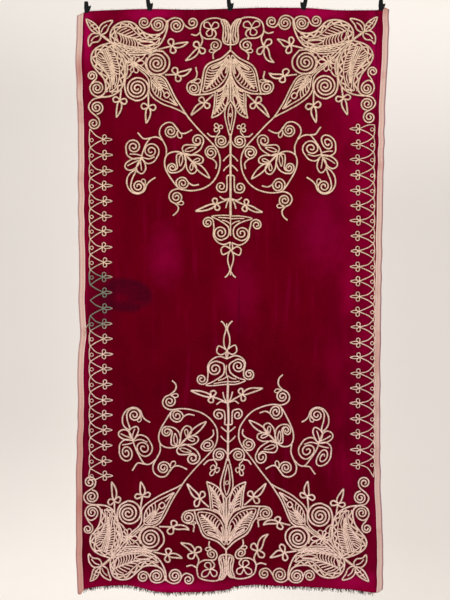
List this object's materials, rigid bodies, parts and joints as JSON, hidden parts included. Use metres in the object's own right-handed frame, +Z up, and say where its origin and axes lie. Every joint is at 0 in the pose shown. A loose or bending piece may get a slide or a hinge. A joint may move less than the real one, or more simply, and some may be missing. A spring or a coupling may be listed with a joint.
{
  "type": "braided velvet panel with clips",
  "caption": "Tall crimson velvet hanging with couched pale braid scrolls, leaves and paisleys, zigzag side borders and ravelled ends, held at its top edge by small pinch clips.",
  "frame": {"origin": "middle of the line through the clips' tops, on the pattern's axis", "axes": "+Z up, the panel hangs toward -Z; its face looks toward -Y; +X to the right seen from the front"},
  "size_m": [1.024, 0.016, 1.9536],
  "materials": {
    "crimson_velvet": "matt pile with a soft sheen",
    "champagne_braid": "satin thread",
    "ravelled_threads": "matt",
    "black_plastic": "matt",
    "dark_steel": "satin"
  },
  "bodies": {
    "root": {"clip_1_back_leaf": "black_plastic", "clip_1_front_leaf": "black_plastic", "clip_1_spring_pin": "dark_steel", "clip_2_back_leaf": "black_plastic", "clip_2_front_leaf": "black_plastic", "clip_2_spring_pin": "dark_steel", "clip_3_back_leaf": "black_plastic", "clip_3_front_leaf": "black_plastic", "clip_3_spring_pin": "dark_steel", "clip_4_back_leaf": "black_plastic", "clip_4_front_leaf": "black_plastic", "clip_4_spring_pin": "dark_steel", "clip_5_back_leaf": "black_plastic", "clip_5_front_leaf": "black_plastic", "clip_5_spring_pin": "dark_steel", "left_vine_and_border_braid": "champagne_braid", "lower_centre_braid": "champagne_braid", "lower_fray": "ravelled_threads", "right_vine_and_border_braid": "champagne_braid", "upper_centre_braid": "champagne_braid", "velvet_panel": "crimson_velvet"}
  },
  "joints": []
}
